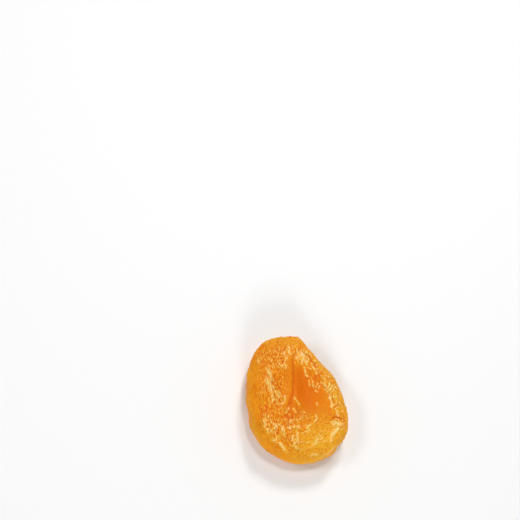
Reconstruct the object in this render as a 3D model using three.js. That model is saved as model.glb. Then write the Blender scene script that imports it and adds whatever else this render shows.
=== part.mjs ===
// A whole dried apricot: stoned, flattened as it dried, and lying on its back.
// It is one solid. The skin is plump round the rim and has sunk into a hollow where the
// stone was taken out, and a small flat spot underneath keeps the fruit still.
//
// Millimetres. +Z is up, +Y runs from the broad blossom end to the blunt stem end, and the
// origin lies on the surface that the fruit rests on, under the middle of its bounding box.

import * as THREE from "three";

const LENGTH = 39.2;
const WIDTH = 31.2;
const THICKNESS = 12.6;

// Plan outline as [direction in degrees from +X, distance from the middle]. The stem end is
// the blunt stretch from 90 to 120 degrees, and the edge from 30 to 85 degrees is nearly straight.
const OUTLINE = [
  [0, 13.2],
  [22, 12.6],
  [45, 12.9],
  [58, 13.4],
  [71, 14.8],
  [80, 16.3],
  [85, 17.1],
  [90, 19.6],
  [97, 19.9],
  [108, 20.6],
  [120, 20.7],
  [138, 18.6],
  [160, 16.1],
  [185, 15.2],
  [212, 16.1],
  [240, 17.7],
  [265, 18.9],
  [298, 18.7],
  [311, 17.4],
  [326, 17.0],
  [344, 15.1],
];

// Height of the widest line of the rim above the resting surface, and how far the crown
// would stand above that line if the middle hadn't sunk, both as [direction, height]. The
// straight edge is the thin one.
const RIM_HEIGHT = [
  [10, 5.4],
  [60, 5.2],
  [110, 6.0],
  [180, 5.6],
  [250, 5.0],
  [310, 5.3],
];
const CROWN = [
  [20, 6.6],
  [60, 6.2],
  [110, 6.6],
  [180, 7.9],
  [240, 7.6],
  [310, 6.9],
];

// Where the directions stop mattering: nearer the middle than this share of the way out.
const EVEN_MIDDLE = 0.6;

// Below 1, these make the body fuller than an ellipsoid: the rim blunter, the flanks steeper.
const PLAN_FULLNESS = 0.68;
const HEIGHT_FULLNESS = 0.84;

// The underside would bulge this far below the resting surface, and is flat there instead.
const FLATTENED = 0.35;

// Hollows and folds of the upper face. Each is an elongated bump: its middle, how far it
// reaches along and across, which way it runs in degrees from +X, and its depth or height.
const HOLLOWS = [
  { x: -0.5, y: -1.0, along: 13.0, across: 8.5, turned: -75, size: 2.6 },
  { x: 4.9, y: 1.0, along: 8.0, across: 4.2, turned: -64, size: 2.9 },
  { x: 1.3, y: 4.6, along: 7.4, across: 1.9, turned: -78, size: 1.5 },
  { x: -5.2, y: 5.0, along: 8.5, across: 2.2, turned: 97, size: 0.7 },
  { x: 13.4, y: -5.4, along: 4.0, across: 1.2, turned: 3, size: 0.9 },
];
const FOLDS = [
  { x: -2.4, y: 6.0, along: 8.0, across: 1.2, turned: 94, size: 0.7 },
  { x: 1.6, y: -8.6, along: 6.0, across: 1.5, turned: 16, size: 0.8 },
  { x: 8.5, y: -12.0, along: 5.0, across: 3.6, turned: 30, size: 0.7 },
];

// Dents in the underside, which only show beside the flat spot.
const UNDER_HOLLOWS = [
  { x: -7.5, y: 12.5, along: 7.0, across: 2.4, turned: 118, size: 1.1 },
  { x: 9.8, y: -9.0, along: 6.5, across: 2.6, turned: 40, size: 1.0 },
  { x: -8.6, y: -11.0, along: 5.0, across: 2.2, turned: -52, size: 0.8 },
];

// Slow unevenness of the whole skin: waves round the rim and lumps across the faces.
const RIM_WAVE = 0.24;
const LUMP = 0.22;

// How finely the skin is divided, and how its triangles spread: above 1, they are smaller in
// the middle of each face than at the rim.
const DETAIL = 14;
const GATHER = 1.45;

const QUARTER_TURN = Math.PI / 2;
const radians = THREE.MathUtils.degToRad;

// Reads a closed list of [degrees, value] at any angle, with a smooth curve through the values.
function around(stations, angle) {
  const degrees = THREE.MathUtils.euclideanModulo(THREE.MathUtils.radToDeg(angle), 360);
  const n = stations.length;
  const station = (i) => {
    const turn = Math.floor(i / n);
    const [at, value] = stations[THREE.MathUtils.euclideanModulo(i, n)];
    return [at + 360 * turn, value];
  };
  let i = -1;
  while (station(i + 1)[0] <= degrees) i += 1;
  const [[a0, v0], [a1, v1], [a2, v2], [a3, v3]] = [i - 1, i, i + 1, i + 2].map(station);
  const span = a2 - a1;
  const t = (degrees - a1) / span;
  const slope1 = ((v2 - v0) / (a2 - a0)) * span;
  const slope2 = ((v3 - v1) / (a3 - a1)) * span;
  return (
    v1 * (2 * t ** 3 - 3 * t ** 2 + 1) +
    slope1 * (t ** 3 - 2 * t ** 2 + t) +
    v2 * (3 * t ** 2 - 2 * t ** 3) +
    slope2 * (t ** 3 - t ** 2)
  );
}

// Height of an elongated bump at (x, y).
function bump({ x: middleX, y: middleY, along, across, turned, size }, x, y) {
  const turn = radians(turned);
  const u = ((x - middleX) * Math.cos(turn) + (y - middleY) * Math.sin(turn)) / along;
  const v = ((y - middleY) * Math.cos(turn) - (x - middleX) * Math.sin(turn)) / across;
  return size * Math.exp(-u * u - v * v);
}

function total(bumps, x, y) {
  return bumps.reduce((sum, each) => sum + bump(each, x, y), 0);
}

// Reads a closed list as around does, but fades to the list's average towards the middle.
function spread(stations, angle, level) {
  const average = stations.reduce((sum, [, value]) => sum + value, 0) / stations.length;
  const share = THREE.MathUtils.smoothstep(level, 0, EVEN_MIDDLE);
  return THREE.MathUtils.lerp(average, around(stations, angle), share);
}

// Where the skin lies in the direction of a unit vector.
function skin(direction) {
  const angle = Math.atan2(direction.y, direction.x);
  const slant = Math.acos(Math.min(1, Math.abs(direction.z))) / QUARTER_TURN;
  const level = Math.sin(QUARTER_TURN * slant ** GATHER);
  const rise = Math.cos(QUARTER_TURN * slant ** GATHER);
  const wave = RIM_WAVE * level * (Math.sin(5 * angle + 0.6) + 0.6 * Math.sin(8 * angle + 2.1));
  const reach = (around(OUTLINE, angle) + 0.6 * wave) * level ** PLAN_FULLNESS;
  const x = reach * Math.cos(angle);
  const y = reach * Math.sin(angle);

  const rim = spread(RIM_HEIGHT, angle, level) + wave;
  const swell = rise ** HEIGHT_FULLNESS;
  if (direction.z < 0) {
    const bottom = rim * (1 - swell) - FLATTENED * swell + total(UNDER_HOLLOWS, x, y) * rise;
    return new THREE.Vector3(x, y, Math.max(0, bottom));
  }
  const lump = LUMP * Math.sin(0.55 * x + 1.1) * Math.sin(0.42 * y - 0.4);
  const shape = total(FOLDS, x, y) - total(HOLLOWS, x, y) + lump;
  return new THREE.Vector3(x, y, rim + spread(CROWN, angle, level) * swell + shape * rise);
}

// Scales a geometry to a size and stands it on the origin, with its bounding box centred.
function fit(geometry, width, length, thickness) {
  geometry.computeBoundingBox();
  const size = geometry.boundingBox.getSize(new THREE.Vector3());
  geometry.scale(width / size.x, length / size.y, thickness / size.z);
  geometry.computeBoundingBox();
  const { min, max } = geometry.boundingBox;
  return geometry.translate(-(min.x + max.x) / 2, -(min.y + max.y) / 2, -min.z);
}

function fruit() {
  const geometry = new THREE.IcosahedronGeometry(1, DETAIL);
  const points = geometry.attributes.position;
  const direction = new THREE.Vector3();
  for (let i = 0; i < points.count; i += 1) {
    direction.fromBufferAttribute(points, i).normalize();
    points.setXYZ(i, ...skin(direction));
  }
  return fit(geometry, WIDTH, LENGTH, THICKNESS);
}

const flesh = new THREE.MeshStandardMaterial({ color: 0xe6902f, roughness: 0.38, metalness: 0 });

const apricot = new THREE.Mesh(fruit(), flesh);
apricot.name = "apricot";

const part = new THREE.Group();
part.add(apricot);

export default part;
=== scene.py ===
"""A whole dried apricot on a pale floor: its skin, wrinkles, colours, camera and light.

Lengths are in millimetres until a mesh, light or camera is placed, and then in metres. The
frame is the CAD model's: +Z up, +Y towards the stem end, +X towards the thin, straight edge.
"""

import math

import bmesh
import bpy
import numpy as np
from mathutils import Matrix, Vector


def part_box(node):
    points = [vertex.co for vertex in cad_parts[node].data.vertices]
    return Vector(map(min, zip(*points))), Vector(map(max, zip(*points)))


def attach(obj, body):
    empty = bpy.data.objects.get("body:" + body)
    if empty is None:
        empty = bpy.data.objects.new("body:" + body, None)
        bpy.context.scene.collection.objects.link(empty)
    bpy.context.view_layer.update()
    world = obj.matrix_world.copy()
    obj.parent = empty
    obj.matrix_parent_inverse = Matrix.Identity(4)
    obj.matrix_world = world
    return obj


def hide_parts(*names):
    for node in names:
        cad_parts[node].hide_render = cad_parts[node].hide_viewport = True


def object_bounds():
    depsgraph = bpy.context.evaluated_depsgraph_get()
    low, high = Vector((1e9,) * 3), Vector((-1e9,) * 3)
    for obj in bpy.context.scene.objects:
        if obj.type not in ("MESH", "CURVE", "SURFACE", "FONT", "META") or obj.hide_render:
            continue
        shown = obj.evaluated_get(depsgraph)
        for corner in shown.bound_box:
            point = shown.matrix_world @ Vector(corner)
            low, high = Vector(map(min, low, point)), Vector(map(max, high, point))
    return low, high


MM = 0.001
PIECE = "apricot_skin"

# The photograph's frame, and where the fruit is in it.
IMAGE_PIXELS = 520
FRUIT_PIXEL = (297.0, 399.2)
PIXELS_PER_MM = 3.29
LENS_MM = 85
SENSOR_MM = 36
VIEW_AZIMUTH = -25
VIEW_ELEVATION = 75

# The fine mesh: its spacing, how near two corners of the CAD model are when they are one, how
# often the mesh is rounded and evened out before anything is added, and its size at the end.
SPACING = 0.16
SAME_CORNER = 0.001
ROUNDING_LEVELS = 2
EVENING_ROUNDS = 40
MOST_TRIANGLES = 194000

# The underside is thinned out to get there: most below the first height, least above the second,
# and by how much the two differ.
THINNED_BELOW = 1.0
KEPT_ABOVE = 4.5
THINNING_RANGE = 0.9

# Smoothing passes values on along the links of the mesh. These are the share of a difference
# that moves in one round, the length under which a shorter link passes on no more, what a round
# adds to the spread in square spacings, and how many spreads wide the waves are that it leaves.
PASSED_ON = 0.9
SHORTEST_LINK = 0.5 * SPACING
SPREAD_PER_ROUND = 0.6
WAVE_PER_SPREAD = 5.7

# How much further a second smoothing goes, to find what is broader than a wave.
SECOND_SMOOTHING = 1.5

# Waves that keep to the lines of the wrinkles: how strongly and how narrowly values are passed
# on along the lines, and how much less they spread across them.
LINED_GAIN = 3.66
LINED_POWER = 4
LINED_SQUEEZE = 0.8

# How round the bottoms of the creases between folds are, 0 being sharp.
CREASE_ROUNDING = 0.02

# Points beyond the stem end and the blossom end, where the lines of the wrinkles would meet.
STEM_END = np.array([-4.5, 22.0, 7.0])
BLOSSOM_END = np.array([3.5, -25.0, 5.5])

# How far the lines turn across the fruit between the dish and the golden end, in radians,
# and where: the middle in plan, the reach along and across, and the direction in degrees.
SWIRL = 1.15
SWIRL_PLACE = (4.5, -10.5, 11.0, 4.8, 22)

# The widths of the coarse and medium folds, and the wrinkles, which are waves of several widths:
# the share and width of each, and how far it keeps to the lines. Then how high each kind stands,
# and how far the skin is lowered to make up for it.
COARSE_WIDTH = 2.8
MEDIUM_WIDTH = 1.4
WRINKLES = ((0.62, 0.32, 0.88), (0.80, 0.46, 0.96), (0.25, 0.85, 1.0))
COARSE_HEIGHT = 0.14
MEDIUM_HEIGHT = 0.09
WRINKLE_HEIGHT = 0.115
LOWERED = 0.15

# Unevenness, as a level and the noises on it, which are (strength, size in mm, seed): how far
# the lines wander in radians, the skin's lumps in mm, and then how strong each of the others is.
LINE_WANDER = (0, (0.5, 3.6, 51))
LUMPS = (0, (0.10, 3.4, 11), (0.05, 1.9, 12))
FOLD_STRENGTH = (0.75, (0.45, 1.7, 35))
STREAK_STRENGTH = (0.85, (0.5, 0.7, 36))
WRINKLE_STRENGTH = (0.42, (0.30, 3.6, 21), (0.20, 1.6, 22))
GOLDEN_GLOW_STRENGTH = (1, (0.25, 3.0, 61), (0.2, 1.2, 62))

# How far what follows a curve strays from it: the size, reach and two seeds of each waver.
WAVERS = ((2.6, 0.30, (31, 32)), (0.9, 0.17, (33, 34)))

rng = np.random.default_rng(seed=41)


# ---------------------------------------------------------------- numbers


def smoothstep(low, high, value):
    t = np.clip((value - low) / (high - low), 0, 1)
    return t * t * (3 - 2 * t)


def unit(vectors):
    return vectors / np.maximum(np.linalg.norm(vectors, axis=-1, keepdims=True), 1e-12)


# The noise: large odd numbers that scatter its cells, a shift that keeps the cells' own numbers
# above 0, and what brings its range to about -1 to 1.
CELL_SCATTER = np.array([73856093, 19349663, 83492791])
KEY_SCATTER = (2654435761, 2246822519)
CELL_SHIFT = 100.0
NOISE_GAIN = 1.6


def noise(points, size, seed):
    """Smooth gradient noise, roughly -1 to 1, with lumps about `size` mm across."""
    place = points / size + CELL_SHIFT
    corner = np.floor(place).astype(np.int64)
    inside = place - corner
    fade = inside ** 3 * (inside * (inside * 6 - 15) + 10)
    total = np.zeros(len(points))
    for step in np.ndindex(2, 2, 2):
        x, y, z = ((corner + step) * CELL_SCATTER).T
        key = x ^ y ^ z ^ seed
        key = (key * KEY_SCATTER[0]) & 0xFFFFFFFF
        key = ((key ^ (key >> 15)) * KEY_SCATTER[1]) & 0xFFFFFFFF
        turn = (key & 0xFFFF) / 65536 * 2 * np.pi
        height = ((key >> 16) & 0xFFFF) / 32768 - 1
        flat = np.sqrt(1 - height ** 2)
        slope = np.stack([flat * np.cos(turn), flat * np.sin(turn), height], axis=1)
        weight = np.prod(np.where(step, fade, 1 - fade), axis=1)
        total += weight * np.sum(slope * (inside - step), axis=1)
    return total * NOISE_GAIN


def uneven(points, level, *layers):
    """The level with noises on it, each given as (strength, size in mm, seed)."""
    values = np.full(len(points), float(level))
    for strength, size, seed in layers:
        values += strength * noise(points, size, seed)
    return values


# ---------------------------------------------------------------- the mesh


def fine_mesh(node):
    """The CAD node's form in millimetres, rounded and divided into small even squares."""
    mesh = node.data.copy()
    mesh.transform(Matrix.Scale(1 / MM, 4))
    form = bmesh.new()
    form.from_mesh(mesh)
    bmesh.ops.remove_doubles(form, verts=form.verts, dist=SAME_CORNER)
    form.to_mesh(mesh)
    form.free()
    rough = bpy.data.objects.new("rough_form", mesh)
    bpy.context.scene.collection.objects.link(rough)
    rounding = rough.modifiers.new("Rounding", "SUBSURF")
    rounding.levels = ROUNDING_LEVELS
    squares = rough.modifiers.new("Squares", "REMESH")
    squares.mode = "VOXEL"
    squares.voxel_size = SPACING
    fine = applied(rough)
    bpy.data.objects.remove(rough)
    return fine


def applied(obj):
    """A new mesh: the object's, with its modifiers applied."""
    bpy.context.view_layer.update()
    graph = bpy.context.evaluated_depsgraph_get()
    return bpy.data.meshes.new_from_object(obj.evaluated_get(graph))


class Skin:
    """The fruit's surface as arrays: points, the squares between them, and their links.

    It also holds each point's wavering place in plan, how strong the highlight painted there is,
    how much shade is painted there for a crease with a place of its own, and how much for any
    crease or trough.
    """

    def __init__(self, mesh):
        self.count = len(mesh.vertices)
        self.points = mesh_points(mesh)
        corners = np.empty(len(mesh.loops), dtype=np.int64)
        mesh.loops.foreach_get("vertex_index", corners)
        self.squares = corners.reshape(-1, 4)
        a, b, c, d = self.squares.T
        sides = np.concatenate([np.stack(pair, 1) for pair in ((a, b), (b, c), (c, d), (d, a))])
        across = np.concatenate([np.stack(pair, 1) for pair in ((a, c), (b, d))])
        self.links = np.unique(np.sort(np.concatenate([sides, across]), axis=1), axis=0)
        self.wavy_plan = self.points[:, :2]
        self.pale = np.zeros(self.count)
        self.creases = np.zeros(self.count)
        self.crease_shade = np.zeros(self.count)
        self.measure()

    def measure(self):
        """Works out the normals, and how readily each link passes on what spreads."""
        a, b, c, d = (self.points[self.squares[:, k]] for k in range(4))
        facing = np.cross(c - a, d - b)
        total = np.zeros_like(self.points)
        for k in range(4):
            for axis in range(3):
                total[:, axis] += np.bincount(self.squares[:, k], facing[:, axis], self.count)
        self.normals = unit(total)
        i, j = self.links.T
        self.link_directions = self.points[j] - self.points[i]
        lengths = np.linalg.norm(self.link_directions, axis=1)
        self.link_directions /= lengths[:, None]
        self.passing = 1 / np.maximum(lengths, SHORTEST_LINK) ** 2

    def spread(self, values, rounds, weights):
        """Values after passing between linked points so many times."""
        i, j = self.links.T
        total = np.bincount(i, weights, self.count) + np.bincount(j, weights, self.count)
        rate = PASSED_ON / np.maximum(total, np.mean(total))
        for _ in range(rounds):
            flow = weights * (values[j] - values[i])
            gain = np.bincount(i, flow, self.count) - np.bincount(j, flow, self.count)
            values = values + rate * gain
        return values

    def even_out(self, rounds):
        """Spaces the points evenly, and takes off the corners of the CAD model's faces."""
        alike = np.ones(len(self.links))
        for axis in range(3):
            self.points[:, axis] = self.spread(self.points[:, axis], rounds, alike)
        self.measure()

    def lines(self):
        """The direction of the wrinkles at each point, along the skin.

        It leads from the stem end to the blossom end, wanders to both sides, and turns across
        the fruit between the dish and the golden end.
        """
        away = self.points - STEM_END
        back = self.points - BLOSSOM_END
        pull = away / np.sum(away ** 2, 1, keepdims=True) - back / np.sum(back ** 2, 1, keepdims=True)
        pull = unit(pull - self.normals * np.sum(pull * self.normals, axis=1, keepdims=True))
        turn = uneven(self.points, *LINE_WANDER) - SWIRL * bowl(self.points, *SWIRL_PLACE)
        turn = turn[:, None]
        return pull * np.cos(turn) + np.cross(self.normals, pull) * np.sin(turn)

    def lined_weights(self, lined):
        """How readily each link passes values on, for folds that run along the fruit's lines."""
        along = self.lines()
        i, j = self.links.T
        line = unit(along[i] + np.sign(np.sum(along[i] * along[j], 1))[:, None] * along[j])
        straight = np.sum(line * self.link_directions, axis=1) ** 2
        share = 0.5 * (lined[i] + lined[j])
        return self.passing * (1 - share + share * LINED_GAIN * straight ** LINED_POWER)

    def waves(self, width, lined):
        """Random rises and dips about `width` mm wide, of both signs and mostly within 2.

        Random values are smoothed, less so across the fruit's lines than along them, and what
        is broader than a wave is taken off. Where `lined` is near 1 the waves are long and run
        along those lines, and where it is 0 they are round.
        """
        weights = self.lined_weights(lined)
        squeeze = 1 - LINED_SQUEEZE * np.mean(lined)
        step = SPREAD_PER_ROUND * squeeze * SPACING ** 2
        wanted = (2 * width / WAVE_PER_SPREAD) ** 2
        narrow = max(1, round(wanted / step))
        wide = max(1, round(SECOND_SMOOTHING * wanted / step))
        near = self.spread(rng.standard_normal(self.count), narrow, weights)
        contrast = near - self.spread(near, wide, weights)
        return contrast / np.std(contrast)


def folded(waves):
    """Rounded folds, from 0 in the creases between them to about 2."""
    return np.sqrt(waves ** 2 + CREASE_ROUNDING) - math.sqrt(CREASE_ROUNDING)


# ---------------------------------------------------------------- the form


# How many straight stretches a curve has from one corner to the next.
CURVE_STEPS = 10

# The share of a curve over which a fold or crease fades in at one end, and out at the other.
END_FADE = 0.2


def smooth_curve(corners):
    """A curve through the corners, as short straight stretches."""
    corners = np.array(corners, float)
    padded = np.concatenate([2 * corners[:1] - corners[1:2], corners, 2 * corners[-1:] - corners[-2:-1]])
    points = []
    for k in range(1, len(padded) - 2):
        before, start, end, after = padded[k - 1:k + 3]
        for t in np.arange(CURVE_STEPS) / CURVE_STEPS:
            points.append(0.5 * (2 * start + (end - before) * t
                                 + (2 * before - 5 * start + 4 * end - after) * t ** 2
                                 + (3 * start - before - 3 * end + after) * t ** 3))
    points.append(corners[-1])
    return np.array(points)


def near_curve(plan, corners):
    """How far each plan point is from the curve, to its left as positive, and how far along."""
    curve = smooth_curve(corners)
    best = np.full(len(plan), np.inf)
    signed = np.zeros(len(plan))
    along = np.zeros(len(plan))
    count = len(curve) - 1
    for k in range(count):
        start, end = curve[k], curve[k + 1]
        run = end - start
        offset = plan - start
        t = np.clip(offset @ run / (run @ run), 0, 1)
        gap = offset - t[:, None] * run
        distance = np.linalg.norm(gap, axis=1)
        closer = distance < best
        side = np.sign(run[0] * offset[:, 1] - run[1] * offset[:, 0])
        best = np.where(closer, distance, best)
        signed = np.where(closer, side * distance, signed)
        along = np.where(closer, (k + t) / count, along)
    return signed, along


def crest(plan, corners, width):
    """1 along a curve, falling to 0 on both sides and at its two ends."""
    signed, along = near_curve(plan, corners)
    ends = smoothstep(0, END_FADE, along) * smoothstep(0, END_FADE, 1 - along)
    return ends * np.exp(-(signed / width) ** 2)


def streak(plan, x1, y1, x2, y2, width):
    """1 along a short straight stroke, falling to 0 all round it."""
    run = np.array([x2 - x1, y2 - y1])
    offset = plan - np.array([x1, y1])
    t = np.clip(offset @ run / (run @ run), 0, 1)
    gap = offset - t[:, None] * run
    return np.exp(-np.sum(gap ** 2, axis=1) / width ** 2)


def within(plan, outline, softness):
    """1 inside a closed outline that runs anticlockwise, and 0 outside it."""
    signed, _ = near_curve(plan, outline)
    return smoothstep(-softness, softness, signed)


def bowl(plan, x, y, along, across, turned):
    """1 at (x, y), falling away over the two reaches; `turned` is in degrees from +X."""
    turn = math.radians(turned)
    u = ((plan[:, 0] - x) * math.cos(turn) + (plan[:, 1] - y) * math.sin(turn)) / along
    v = ((plan[:, 1] - y) * math.cos(turn) - (plan[:, 0] - x) * math.sin(turn)) / across
    return np.exp(-u ** 2 - v ** 2)


# Raised folds of the upper face: the curve in plan, its half width, its height, and how strong the
# highlight painted on its top is. Above 1, more of the top has the full painted highlight.
FOLDS = (
    ([(-2.0, 15.8), (-2.4, 9.3), (-2.4, 3.3), (-2.5, 0.2), (-3.5, -2.0), (-5.2, -5.4)], 0.60, 0.38, 0.0),
    ([(-9.2, 9.6), (-8.9, 6.1), (-8.8, 4.2), (-8.4, 2.3), (-7.9, 0.7), (-7.0, -2.7)], 0.28, 0.42, 1.4),
    ([(-8.4, 3.6), (-8.0, 2.5), (-6.8, 0.5), (-5.3, -2.3)], 0.28, 0.35, 1.2),
    ([(-8.9, 5.6), (-8.1, 7.4), (-7.4, 10.0)], 0.28, 0.30, 0.9),
    ([(-10.8, -2.5), (-11.2, 0.2), (-10.0, 2.9), (-9.0, 5.5)], 0.45, 0.30, 0.3),
    ([(-11.1, -7.3), (-9.9, -10.3), (-8.0, -12.8), (-5.8, -14.5), (-3.4, -16.7)], 0.50, 0.50, 0.3),
    ([(-2.2, -11.6), (-1.6, -13.8), (-0.4, -16.2)], 0.40, 0.35, 0.2),
    ([(-4.2, -11.2), (-2.7, -9.8), (-0.6, -8.7), (1.6, -8.2)], 0.50, 0.40, 0.2),
    ([(2.6, -7.9), (3.8, -6.7), (6.2, -5.2)], 0.50, 0.35, 0.2),
    ([(-5.4, -9.0), (-3.2, -7.0), (-0.8, -5.3)], 0.50, 0.40, 0.2),
    ([(4.5, 11.2), (6.4, 8.2), (8.2, 5.1), (9.9, 1.9), (11.1, -0.9), (11.4, -3.9)], 0.55, 0.50, 0.4),
    ([(0.4, 15.9), (3.3, 13.4), (6.4, 9.9), (9.1, 6.4), (11.5, 2.6)], 0.35, 0.25, 0.4),
    ([(3.3, -15.4), (5.8, -13.7)], 0.50, 0.20, 1.1),
    ([(4.2, -14.2), (5.8, -12.9), (7.2, -11.4)], 0.65, 0.25, 0.9),
    ([(9.2, -12.8), (10.6, -10.9), (12.2, -9.0)], 0.80, 0.30, 1.0),
    ([(3.2, -17.6), (6.4, -17.4)], 0.55, 0.15, 0.9),
    ([(4.4, -18.9), (6.5, -18.2), (8.5, -17.0), (10.2, -15.4), (11.8, -13.4)], 0.45, 0.35, 0.9),
)

# The smooth fold beside the main crease, which has no wrinkles of its own.
SMOOTH_FOLD = FOLDS[0][0]
SMOOTH_WIDTH = 1.0

# Creases of the upper face: the curve in plan, its half width, its depth, and how strongly shade
# is painted in it.
CREASES = (
    ([(-0.6, 16.6), (-1.2, 12.6), (-1.5, 9.4), (-1.4, 4.9), (-1.5, 1.8), (-2.0, -1.0), (-3.2, -3.3),
      (-4.6, -5.0)], 1.00, 0.45, 0.75),
    ([(0.9, 14.5), (3.0, 12.5), (5.9, 9.2), (8.5, 5.7)], 0.25, 0.25, 1.0),
    ([(8.6, -7.2), (10.6, -6.2), (13.0, -6.1), (14.9, -5.6)], 0.50, 0.40, 0.7),
    ([(-1.5, 12.2), (-0.2, 13.6), (1.2, 14.3)], 0.34, 0.24, 0.9),
    ([(0.0, 9.5), (1.7, 11.0), (3.4, 11.8)], 0.34, 0.24, 0.9),
    ([(-8.4, 5.6), (-8.2, 2.4), (-7.2, -0.2), (-6.0, -2.4), (-5.1, -4.5)], 0.28, 0.45, 1.0),
)

# Where the wrinkles are strongest and the highlights painted on their tops brightest: the middle in
# plan, the reach along and across, the direction in degrees from +X, and how strongly.
PALE_PATCHES = (
    (1.6, 11.6, 4.6, 2.4, -50, 1.0),
    (-9.0, 2.0, 8.0, 2.0, -80, 0.5),
    (-5.8, 1.0, 6.0, 2.0, -80, 0.45),
    (-4.5, -3.0, 4.0, 2.4, -60, 0.5),
    (-8.0, -9.0, 6.5, 3.2, -50, 0.7),
    (-1.0, -9.0, 5.0, 3.4, 20, 0.5),
    (-0.8, -14.5, 3.0, 1.8, -60, 0.6),
    (11.8, -1.5, 8.0, 2.6, -72, 0.8),
    (11.6, -8.8, 3.0, 2.4, 25, 1.0),
    (6.5, 8.5, 5.0, 2.0, -55, 0.6),
    (-4.0, 10.5, 6.0, 3.0, 95, 0.48),
    (-7.0, 12.0, 6.0, 4.0, 30, 0.4),
    (7.0, -13.0, 6.0, 3.4, 30, 0.7),
    (13.2, 0.5, 9.0, 2.0, -78, 0.5),
    (8.5, 9.5, 8.0, 2.0, -53, 0.5),
)

# Where the wrinkles are weaker, in the same form as the pale patches.
CALM_PATCHES = (
    (-2.6, -4.4, 4.5, 2.2, -55, 0.3),
    (5.5, -7.0, 4.0, 1.4, 20, 0.3),
    (-14.0, 0.0, 12.0, 2.0, -85, 0.4),
)

# Where the skin is golden instead of orange, in the same form: partly its own gold and partly a
# painted glow of light through the thin flesh of the rims and the lobe.
GOLDEN_GLOW_PATCHES = (
    (8.5, -14.0, 12.0, 7.5, 27, 1.0),
    (-4.0, 18.2, 11.0, 2.8, 6, 0.8),
    (8.2, 10.4, 9.0, 2.2, -52, 0.8),
    (13.6, -1.0, 8.0, 2.6, -80, 0.8),
)

# More places in the same form, without a strength: the wrinkled wall of the dish, where the
# shade painted on its floor is deepest, the painted shade below it, and the plump lobe at the golden
# end.
DISH_WALL = (5.4, 5.4, 4.6, 2.2, -58)
DISH_HEART = (1.5, 2.5, 10.0, 4.5, -72)
BELOW_DISH = (-2.2, -5.6, 5.0, 3.0, -55)
GOLDEN_LOBE = (6.0, -13.0, 8.5, 4.6, 25)

# The smooth floor of the dish: its outline in plan, anticlockwise from a straight stretch.
DISH = (
    (-1.4, 4.4), (-1.4, 2.4), (-0.7, -0.9), (1.1, -4.1), (4.1, -5.6), (7.2, -5.2), (9.2, -3.6),
    (9.2, -0.8), (8.4, 1.4), (7.2, 3.9), (5.9, 6.2), (4.4, 7.8), (2.4, 9.2), (0.8, 9.9), (-0.7, 8.9),
    (-1.3, 6.4), (-1.4, 4.4),
)

# Short raised strokes with a highlight painted on them: the two ends in plan, and the half width.
STREAKS = (
    # in the dish and on its wall
    (1.7, 8.9, 2.2, 7.1, 0.46), (2.2, 6.9, 3.3, 6.6, 0.42), (3.5, 5.3, 3.7, 3.7, 0.34),
    (4.2, 6.0, 4.5, 5.4, 0.34), (4.7, 5.0, 4.9, 3.4, 0.36), (5.9, 4.6, 5.6, 3.4, 0.34),
    (6.6, 3.6, 6.5, 3.0, 0.34), (5.4, 2.4, 6.0, 2.1, 0.34), (5.7, -1.4, 5.7, -2.1, 0.26),
    (1.6, -4.9, 1.8, -5.4, 0.32), (-1.1, -0.3, 0.2, -2.6, 0.24), (-1.5, -3.8, -0.9, -5.0, 0.36),
    # at the stem end
    (-0.4, 14.5, -0.1, 13.4, 0.42), (-0.4, 11.7, 1.3, 13.6, 0.55), (1.7, 13.1, 0.8, 10.1, 0.42),
    (2.3, 10.7, 3.2, 11.4, 0.50), (4.6, 9.4, 5.1, 8.9, 0.46), (5.4, 8.2, 6.1, 7.5, 0.46),
    (-3.0, 14.7, -2.7, 12.7, 0.50), (-4.5, 13.0, -3.6, 10.5, 0.45), (-4.5, 9.3, -3.9, 8.4, 0.40),
    (-6.0, 9.5, -5.1, 8.7, 0.40),
    # along the straight edge
    (7.4, 4.8, 8.8, 2.9, 0.55), (8.2, 2.4, 9.3, 1.0, 0.50), (9.6, 3.5, 10.5, 2.6, 0.50),
    (9.6, 0.7, 9.9, -0.9, 0.50), (10.0, -1.5, 9.9, -3.3, 0.36), (11.7, -4.5, 12.0, -5.7, 0.40),
    # at the golden end
    (10.7, -7.8, 12.9, -8.1, 0.75), (9.4, -13.7, 10.3, -12.4, 0.50), (3.3, -10.6, 2.3, -11.2, 0.45),
    # between the dish and the golden end
    (5.3, -6.1, 5.9, -6.6, 0.32), (4.6, -7.7, 5.5, -7.0, 0.36), (-0.5, -7.9, 1.0, -6.5, 0.38),
    (2.2, -9.9, 3.8, -8.4, 0.42), (-3.6, -10.1, -1.8, -9.7, 0.55), (-0.6, -9.8, 0.3, -9.4, 0.50),
    (-0.7, -11.3, -0.2, -13.6, 0.50), (-2.0, -12.5, -0.8, -15.7, 0.36), (-2.8, -7.9, -1.4, -7.5, 0.45),
    # on the left face
    (-10.3, -7.7, -9.9, -9.2, 0.45), (-8.4, -10.9, -6.9, -9.7, 0.38), (-10.0, -10.0, -8.9, -11.2, 0.40),
    (-7.2, -11.4, -6.5, -12.6, 0.40), (-7.8, -13.3, -6.7, -13.2, 0.45), (-5.9, -14.0, -3.2, -16.8, 0.50),
    (-5.1, -9.6, -4.6, -11.4, 0.36), (-6.0, 1.0, -5.2, -0.3, 0.38), (-4.1, -0.5, -4.4, -1.4, 0.34),
    (-5.2, -2.8, -4.1, -1.1, 0.34), (-4.2, -5.6, -3.1, -3.9, 0.34), (-9.4, 7.0, -8.8, 5.5, 0.50),
    (-9.9, 4.5, -9.1, 2.3, 0.45), (-8.9, 5.5, -8.8, 3.0, 0.36), (-8.8, 2.3, -7.6, -1.8, 0.40),
    (-6.6, -1.7, -5.7, -2.9, 0.40), (-12.0, 11.1, -12.3, 9.4, 0.36),
)
STREAK_HEIGHT = 0.18

# Above 1, a stroke's painted highlight is narrower than its rise.
STREAK_SHARPNESS = 1.3


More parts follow.
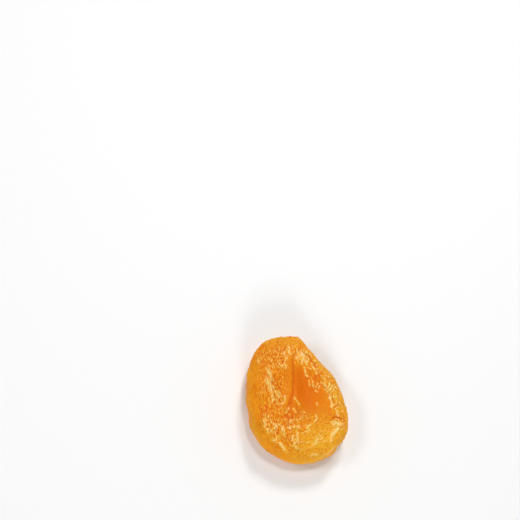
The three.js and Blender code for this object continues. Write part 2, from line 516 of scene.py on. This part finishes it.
def wandering_plan(skin):
    """Plan positions with a slow waver, so that what follows a curve isn't too straight."""
    plan = skin.points[:, :2].copy()
    for size, reach, seeds in WAVERS:
        plan += reach * np.stack([noise(skin.points, size, seed) for seed in seeds], axis=1)
    return plan


def add_form(skin):
    """Adds the folds, creases and raised strokes that the CAD model has no room for, with highlights
    painted on their tops and shade painted in the creases.
    """
    plan = wandering_plan(skin)
    skin.wavy_plan = plan
    upper = smoothstep(0.1, 0.6, skin.normals[:, 2])
    broken = uneven(skin.points, *FOLD_STRENGTH)
    change = np.zeros(skin.count)
    for corners, width, height, pale in FOLDS:
        fold = crest(plan, corners, width)
        change += height * fold * broken
        # a highlight is painted on the top where the fold stands high
        crown = pale * fold ** 2 * np.clip(1.6 * broken - 0.35, 0, 1)
        skin.pale = np.maximum(skin.pale, np.minimum(crown, 1))
    for corners, width, depth, tint in CREASES:
        crease = crest(plan, corners, width)
        change -= depth * crease
        # shade is painted along the bottom of the crease
        skin.creases = np.maximum(skin.creases, tint * upper * crease ** 2)
    ragged = np.clip(uneven(skin.points, *STREAK_STRENGTH), 0, 1.1)
    for stroke in STREAKS:
        fleck = ragged * streak(plan, *stroke)
        change += STREAK_HEIGHT * fleck
        skin.pale = np.maximum(skin.pale, fleck ** STREAK_SHARPNESS)
    change += uneven(skin.points, *LUMPS)
    skin.pale *= upper
    skin.points += skin.normals * (upper * change)[:, None]
    skin.measure()


# Where three parts of the upper face begin and where they are full, along y or along a way out
# from the middle.
STEM_END_Y = (7.0, 14.0)
THIN_EDGE_Y = (-8.0, -4.0)
THIN_EDGE_OUT = (8.5, 12.0)
THIN_EDGE_WAY = (1.0, 0.5)
RIGHT_RIM_OUT = (5.0, 9.5)
RIGHT_RIM_SLANT = 0.55

# The upward parts of the normal where the upper face begins and where it is full, and how much
# lower both are at the stem end and the thin edge: the wrinkles reach further down there.
FLANK = (0.3, 0.85)
FLANK_LOWER = (0.4, 0.45)

# How soft the edge of the dish is for the wrinkles, and for the shade painted in it.
DISH_SOFTNESS = 0.8
DISH_COLOUR_SOFTNESS = 1.2


class Regions:
    """How far each point belongs to the parts of the fruit that wrinkle in their own ways."""

    def __init__(self, skin):
        plan = skin.points[:, :2]
        stem_end = smoothstep(*STEM_END_Y, plan[:, 1])
        edge_out = smoothstep(*THIN_EDGE_OUT, plan @ THIN_EDGE_WAY)
        self.thin_edge = edge_out * smoothstep(*THIN_EDGE_Y, plan[:, 1])
        reach = np.maximum(stem_end, self.thin_edge)
        begins = FLANK[0] - FLANK_LOWER[0] * reach
        full = FLANK[1] - FLANK_LOWER[1] * reach
        self.upper = smoothstep(begins, full, skin.normals[:, 2])
        wall = bowl(skin.wavy_plan, *DISH_WALL)
        self.dish = self.upper * within(skin.wavy_plan, DISH, DISH_SOFTNESS) * (1 - 0.8 * wall)
        rim_out = smoothstep(*RIGHT_RIM_OUT, plan[:, 0] + RIGHT_RIM_SLANT * plan[:, 1])
        self.right_rim = self.upper * rim_out
        self.lobe = self.upper * np.clip(1.2 * bowl(plan, *GOLDEN_LOBE), 0, 1)
        self.band = self.upper * crest(plan, SMOOTH_FOLD, SMOOTH_WIDTH)


def wrinkle_strength(skin):
    """How strong the wrinkles and the highlights painted on them are at each point, and how strong the
    broad painted sheen of the pale patches is.
    """
    strength = uneven(skin.points, *WRINKLE_STRENGTH)
    painted_sheen = np.zeros(skin.count)
    for *place, paleness in PALE_PATCHES:
        patch = paleness * bowl(skin.wavy_plan, *place)
        strength += 0.6 * patch
        painted_sheen = np.maximum(painted_sheen, patch ** 3)
    for *place, calm in CALM_PATCHES:
        strength -= calm * bowl(skin.wavy_plan, *place)
    return np.clip(strength, 0.05, 1.2), painted_sheen


def add_wrinkles(skin):
    """Raises the fine wrinkles, and notes where highlights are painted on their tops and shade in their
    troughs.
    """
    part = Regions(skin)
    strength, painted_sheen = wrinkle_strength(skin)
    rough = 0.65 + 0.45 * strength

    lined = np.clip(0.97 - 0.35 * part.right_rim - 0.3 * part.lobe, 0, 1)
    coarse = folded(skin.waves(COARSE_WIDTH, lined))
    medium = folded(skin.waves(MEDIUM_WIDTH, lined))
    strokes = sum(share * skin.waves(width, long * lined) for share, width, long in WRINKLES)
    # random wrinkles are weaker on the folds and strokes that have places of their own
    strokes *= 1 - 0.35 * skin.pale

    broad = (0.9 + 0.1 * part.upper) * (1 - 0.8 * part.dish) * (1 - 0.75 * part.band)
    fine = (0.36 + 0.64 * part.upper) * (1 - 0.95 * part.dish) * (1 - 0.75 * part.band)
    wrinkle = MEDIUM_HEIGHT * medium + WRINKLE_HEIGHT * rough * np.clip(strokes, -1.6, 2.0)
    height = COARSE_HEIGHT * broad * coarse + fine * wrinkle
    skin.points += skin.normals * (height - LOWERED * broad)[:, None]

    # highlights are painted on the tops of the wrinkles, and as a broad painted sheen in the pale
    # patches
    top = smoothstep(0.4, 1.5, strokes + 0.25 * (medium - 0.6))
    placed = skin.pale * (1 - 0.40 * (1 - part.dish) * smoothstep(-0.7, 0.9, -strokes))
    skin.pale = np.clip(placed + fine * top * strength + 0.4 * part.upper * painted_sheen, 0, 1)
    # the lobe and the thin edge are light all through, so less shade is painted in their troughs
    light = np.maximum(part.lobe, 0.8 * part.thin_edge)
    # shade is painted in the troughs of the wrinkles and in the creases between the medium folds
    trough = 0.9 * rough * smoothstep(0.1, 1.3, -strokes) * (1 - 0.45 * light)
    crease = 0.9 * rough * (1 - smoothstep(0.02, 0.30, medium)) * (1 - light)
    deep = (0.35 + 0.65 * part.upper) * fine * np.maximum(trough, crease)
    skin.crease_shade = np.maximum(deep, skin.creases)
    skin.measure()


def fitted(points, low, high):
    """The points, stretched by the little it takes to fill the CAD model's box."""
    least, most = points.min(axis=0), points.max(axis=0)
    return low + (points - least) * (high - low) / (most - least)


# ---------------------------------------------------------------- what the colours follow


def colour_guides(skin):
    """Values at each point that the material reads, by name."""
    plan = skin.points[:, :2]
    upper = smoothstep(0.0, 0.6, skin.normals[:, 2])
    # the dish guide paints shade: deepest in the hollow of the dish and below it, and weaker along the
    # smooth fold beside the main crease
    dish = within(skin.wavy_plan, DISH, DISH_COLOUR_SOFTNESS)
    dish *= 0.45 + 0.55 * bowl(plan, *DISH_HEART)
    dish = upper * np.maximum(dish, 0.6 * bowl(skin.wavy_plan, *BELOW_DISH))
    dish = np.maximum(dish, 0.4 * upper * crest(skin.wavy_plan, SMOOTH_FOLD, SMOOTH_WIDTH))
    golden_glow = np.zeros(skin.count)
    for *place, glow_strength in GOLDEN_GLOW_PATCHES:
        golden_glow = np.maximum(golden_glow, glow_strength * bowl(skin.wavy_plan, *place))
    golden_glow *= uneven(skin.points, *GOLDEN_GLOW_STRENGTH)
    return {
        "dish": np.clip(dish, 0, 1),
        "golden_glow": np.clip(golden_glow, 0, 1),
        "pale": skin.pale,
        "painted_crease_shade": np.clip(skin.crease_shade, 0, 1),
    }


def finished_mesh(skin, guides):
    mesh = bpy.data.meshes.new(PIECE)
    mesh.from_pydata(skin.points * MM, [], skin.squares)
    for name, values in guides.items():
        attribute = mesh.attributes.new(name, "FLOAT", "POINT")
        attribute.data.foreach_set("value", values.astype(np.float32))
    mesh.polygons.foreach_set("use_smooth", np.ones(len(mesh.polygons), dtype=bool))
    obj = bpy.data.objects.new(PIECE, mesh)
    bpy.context.scene.collection.objects.link(obj)
    return obj


def thin_underside(obj):
    """Makes the faces of the underside larger, so that the piece stays under the limit."""
    mesh = obj.data
    heights = mesh_points(mesh)[:, 2] / MM
    group = obj.vertex_groups.new(name="underside")
    # in steps of a tenth, so that the group is filled in a few calls
    levels = np.round(1 - THINNING_RANGE * smoothstep(THINNED_BELOW, KEPT_ABOVE, heights), 1)
    for level in np.unique(levels):
        group.add(np.flatnonzero(levels == level).tolist(), float(level), "REPLACE")
    thin = obj.modifiers.new("Thin", "DECIMATE")
    thin.ratio = MOST_TRIANGLES / (2 * len(mesh.polygons))
    thin.vertex_group = "underside"
    thin.vertex_group_factor = 1.0
    obj.data = applied(obj)
    obj.data.name = PIECE
    obj.modifiers.clear()
    bpy.data.meshes.remove(mesh)


def mesh_points(mesh):
    flat = np.empty(len(mesh.vertices) * 3)
    mesh.vertices.foreach_get("co", flat)
    return flat.reshape(-1, 3)


def fill_box(mesh, low, high):
    """Stretches a finished mesh by the little it takes to fill the CAD model's box."""
    points = fitted(mesh_points(mesh), low, high)
    mesh.vertices.foreach_set("co", points.ravel())
    mesh.update()


# ---------------------------------------------------------------- materials


# The numbers of a Mix node's colour sockets, whose names it uses for other sockets too.
MIX_COLOURS = (6, 7)
MIX_RESULT = 2


class Nodes:
    """Adds and links the nodes of one material."""

    def __init__(self, name):
        self.material = bpy.data.materials.new(name)
        self.material.use_nodes = True
        self.tree = self.material.node_tree
        self.tree.nodes.clear()

    def add(self, kind, **settings):
        node = self.tree.nodes.new(kind)
        for name, value in settings.items():
            setattr(node, name, value)
        return node

    def link(self, source, target):
        self.tree.links.new(source, target)

    def feed(self, socket, value):
        """Gives a socket its value, which may come from another node."""
        if isinstance(value, bpy.types.NodeSocket):
            self.link(value, socket)
        else:
            socket.default_value = value

    def attribute(self, name):
        return self.add("ShaderNodeAttribute", attribute_name=name).outputs["Fac"]

    def mix(self, factor, one, other):
        """Colour one where the factor is 0, and the other where it is 1."""
        node = self.add("ShaderNodeMix", data_type="RGBA")
        self.feed(node.inputs["Factor"], factor)
        for index, value in zip(MIX_COLOURS, (one, other)):
            self.feed(node.inputs[index], value)
        return node.outputs[MIX_RESULT]

    def math(self, operation, one, other, clamp=False):
        node = self.add("ShaderNodeMath", operation=operation, use_clamp=clamp)
        for socket, value in zip(node.inputs, (one, other)):
            self.feed(socket, value)
        return node.outputs[0]

    def remap(self, value, low, high, to_low=0.0, to_high=1.0):
        node = self.add("ShaderNodeMapRange", interpolation_type="SMOOTHSTEP")
        self.link(value, node.inputs["Value"])
        for name, number in (("From Min", low), ("From Max", high),
                             ("To Min", to_low), ("To Max", to_high)):
            node.inputs[name].default_value = number
        return node.outputs["Result"]

    def noise(self, vector, scale, detail, roughness=0.5):
        node = self.add("ShaderNodeTexNoise")
        self.link(vector, node.inputs["Vector"])
        node.inputs["Scale"].default_value = scale
        node.inputs["Detail"].default_value = detail
        node.inputs["Roughness"].default_value = roughness
        return node.outputs["Fac"]


def colour(red, green, blue):
    """An sRGB colour, 0 to 255, as the linear colour that a node takes."""
    linear = [(c / 255 / 12.92 if c <= 10 else ((c / 255 + 0.055) / 1.055) ** 2.4)
              for c in (red, green, blue)]
    return (*linear, 1.0)


# The two oranges of the bare skin, and the light grain all over it.
ORANGES = (colour(234, 144, 6), colour(238, 156, 8))
GRAIN = colour(243, 168, 30)

# What lies over the oranges: the guide that it follows, how strong it is, and its colour.
TINTS = (
    # the deeper orange of the dish is painted shade of the hollow
    ("dish", 0.95, colour(225, 111, 4)),
    # gold that is partly the skin's own and partly painted glow of light through the thin flesh
    ("golden_glow", 0.80, colour(238, 174, 34)),
)

# And over that, the shade painted red-orange in the creases, and the highlights painted on the tops
# of the wrinkles, brightest in their middles: the guide, its values where the colour begins and
# where it is full, its strength and itself.
EDGED_TINTS = (
    # painted shade in the creases and troughs
    ("painted_crease_shade", 0.1, 1.0, 0.85, colour(221, 88, 0)),
    # painted highlights on the tops of the wrinkles, then their brightest cores
    ("pale", 0.0, 0.7, 0.75, colour(245, 187, 56)),
    ("pale", 0.4, 1.0, 0.70, colour(252, 222, 142)),
)

# The scales of the noises, in lumps to the metre: broad colour, roughness, grain, and the bump
# that is too fine for the mesh. The height of that bump is in metres.
BROAD_SCALE = 130
GLOSS_SCALE = 700
GRAIN_SCALE = 1400
BUMP_SCALE = 2800
BUMP_HEIGHT = 0.00012


def skin_colour(nodes, place):
    broad = nodes.noise(place, BROAD_SCALE, 3)
    base = nodes.mix(nodes.remap(broad, 0.35, 0.68), *ORANGES)
    for guide, strength, tint in TINTS:
        factor = nodes.math("MULTIPLY", nodes.attribute(guide), strength, clamp=True)
        base = nodes.mix(factor, base, tint)
    for guide, start, end, strength, tint in EDGED_TINTS:
        factor = nodes.remap(nodes.attribute(guide), start, end, 0, strength)
        base = nodes.mix(factor, base, tint)
    grain = nodes.noise(place, GRAIN_SCALE, 4)
    return nodes.mix(nodes.remap(grain, 0.5, 0.75, 0, 0.25), base, GRAIN)


def skin_material():
    nodes = Nodes("apricot_skin")
    place = nodes.add("ShaderNodeTexCoord").outputs["Object"]
    shader = nodes.add("ShaderNodeBsdfPrincipled")
    nodes.link(skin_colour(nodes, place), shader.inputs["Base Color"])

    # the floor of the dish is duller than the rest, and the tops with painted highlights are glossy
    rough = nodes.remap(nodes.noise(place, GLOSS_SCALE, 3), 0.3, 0.7, 0.30, 0.44)
    dull = nodes.math("MULTIPLY", nodes.attribute("dish"), 0.25)
    nodes.link(nodes.math("ADD", rough, dull), shader.inputs["Roughness"])
    nodes.link(nodes.remap(nodes.attribute("pale"), 0.2, 0.85), shader.inputs["Coat Weight"])
    shader.inputs["Coat Roughness"].default_value = 0.20
    shader.inputs["IOR"].default_value = 1.45
    shader.inputs["Specular IOR Level"].default_value = 0.16
    shader.inputs["Subsurface Weight"].default_value = 0.30
    shader.inputs["Subsurface Radius"].default_value = (1.0, 0.12, 0.03)
    shader.inputs["Subsurface Scale"].default_value = 0.0014

    bump = nodes.add("ShaderNodeBump")
    bump.inputs["Strength"].default_value = 0.5
    bump.inputs["Distance"].default_value = BUMP_HEIGHT
    nodes.link(nodes.noise(place, BUMP_SCALE, 3, 0.6), bump.inputs["Height"])
    nodes.link(bump.outputs["Normal"], shader.inputs["Normal"])

    output = nodes.add("ShaderNodeOutputMaterial")
    nodes.link(shader.outputs["BSDF"], output.inputs["Surface"])
    return nodes.material


def plain_material(name, shade, roughness):
    nodes = Nodes(name)
    shader = nodes.add("ShaderNodeBsdfPrincipled")
    shader.inputs["Base Color"].default_value = (*shade, 1)
    shader.inputs["Roughness"].default_value = roughness
    output = nodes.add("ShaderNodeOutputMaterial")
    nodes.link(shader.outputs["BSDF"], output.inputs["Surface"])
    return nodes.material


# ---------------------------------------------------------------- the studio


# The light tent: its brightness overhead and all round, and the heights between which it
# changes, 0 being the horizon and 1 straight up.
TENT_OVERHEAD = 0.06
TENT_AROUND = 0.59
TENT_FADE = (0.40, 0.92)

# Soft square lamps that face the fruit: azimuth and elevation in degrees, size in metres, and
# power in watts. Azimuth 0 is on the blossom end's side.
LAMPS = {
    "back": (165, 48, 0.11, 1.2),
    "top": (150, 78, 0.10, 0.8),
    "left": (-95, 50, 0.14, 0.60),
    "front": (5, 30, 0.16, 1.05),
}
LAMP_DISTANCE = 0.60

FLOOR_REACH = 3.0
FLOOR_COLOUR = (0.94, 0.94, 0.94)
FLOOR_ROUGHNESS = 0.7


def direction(azimuth, elevation):
    """The unit vector from the fruit at an azimuth and an elevation in degrees."""
    turn = math.radians(azimuth)
    rise = math.radians(elevation)
    return Vector((math.sin(turn) * math.cos(rise), -math.cos(turn) * math.cos(rise), math.sin(rise)))


def view_directions():
    """Unit vectors from the fruit to the camera, and right and up in the picture."""
    back = direction(VIEW_AZIMUTH, VIEW_ELEVATION)
    up = Vector((0, 1, 0))
    up = (up - back * up.dot(back)).normalized()
    return back, up.cross(back), up


def add_camera(centre):
    """A camera that sees the fruit at its place and size in the photograph."""
    back, right, up = view_directions()
    focus = LENS_MM / SENSOR_MM * IMAGE_PIXELS
    distance = focus / PIXELS_PER_MM * MM
    middle = IMAGE_PIXELS / 2
    ray = Vector((FRUIT_PIXEL[0] - middle, middle - FRUIT_PIXEL[1], -focus)).normalized()
    facing = Matrix((right, up, back)).transposed()
    turned = facing @ ray.rotation_difference(Vector((0, 0, -1))).to_matrix()
    data = bpy.data.cameras.new("camera")
    data.lens = LENS_MM
    data.sensor_width = SENSOR_MM
    data.clip_start = 0.01
    data.clip_end = 20
    data.dof.use_dof = False
    camera = bpy.data.objects.new("camera", data)
    camera.matrix_world = Matrix.Translation(centre + back * distance) @ turned.to_4x4()
    bpy.context.scene.collection.objects.link(camera)
    bpy.context.scene.camera = camera


def add_lamp(name, azimuth, elevation, size, power):
    data = bpy.data.lights.new(name, "AREA")
    data.shape = "SQUARE"
    data.size = size
    data.energy = power
    back = direction(azimuth, elevation)
    lamp = bpy.data.objects.new(name, data)
    lamp.location = back * LAMP_DISTANCE
    lamp.rotation_euler = back.to_track_quat("Z", "Y").to_euler()
    bpy.context.scene.collection.objects.link(lamp)


def add_floor():
    mesh = bpy.data.meshes.new("floor")
    corners = [(FLOOR_REACH * x, FLOOR_REACH * y, 0) for x, y in ((-1, -1), (1, -1), (1, 1), (-1, 1))]
    mesh.from_pydata(corners, [], [(0, 1, 2, 3)])
    floor = bpy.data.objects.new("floor", mesh)
    floor.data.materials.append(plain_material("pale_floor", FLOOR_COLOUR, FLOOR_ROUGHNESS))
    bpy.context.scene.collection.objects.link(floor)


def add_tent():
    """A light tent as the world: bright all round, and dark overhead where the camera looks in."""
    world = bpy.data.worlds.new("studio")
    world.use_nodes = True
    tree = world.node_tree
    sky = tree.nodes.new("ShaderNodeTexCoord")
    parts = tree.nodes.new("ShaderNodeSeparateXYZ")
    tree.links.new(sky.outputs["Generated"], parts.inputs["Vector"])
    fade = tree.nodes.new("ShaderNodeMapRange")
    fade.interpolation_type = "SMOOTHSTEP"
    for name, number in (("From Min", TENT_FADE[0]), ("From Max", TENT_FADE[1]),
                         ("To Min", TENT_AROUND), ("To Max", TENT_OVERHEAD)):
        fade.inputs[name].default_value = number
    tree.links.new(parts.outputs["Z"], fade.inputs["Value"])
    background = tree.nodes["Background"]
    background.inputs["Color"].default_value = (1, 1, 1, 1)
    tree.links.new(fade.outputs["Result"], background.inputs["Strength"])
    bpy.context.scene.world = world


# ---------------------------------------------------------------- the scene

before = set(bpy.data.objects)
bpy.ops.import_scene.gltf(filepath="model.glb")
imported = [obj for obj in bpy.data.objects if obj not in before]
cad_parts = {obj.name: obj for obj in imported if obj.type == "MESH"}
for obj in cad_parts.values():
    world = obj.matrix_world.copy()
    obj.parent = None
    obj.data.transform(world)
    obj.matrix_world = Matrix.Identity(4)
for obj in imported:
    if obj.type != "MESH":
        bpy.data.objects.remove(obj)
cad_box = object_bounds()
low, high = (np.array(corner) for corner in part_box("apricot"))

add_camera((cad_box[0] + cad_box[1]) / 2)
add_floor()
add_tent()
for name, lamp in LAMPS.items():
    add_lamp(name, *lamp)
bpy.context.scene.view_settings.view_transform = "Standard"

skin = Skin(fine_mesh(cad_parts["apricot"]))
skin.even_out(EVENING_ROUNDS)
add_form(skin)
add_wrinkles(skin)
skin.points = fitted(skin.points, low / MM, high / MM)
apricot = finished_mesh(skin, colour_guides(skin))
thin_underside(apricot)
fill_box(apricot.data, low, high)
apricot.data.materials.append(skin_material())
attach(apricot, "root")
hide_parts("apricot")
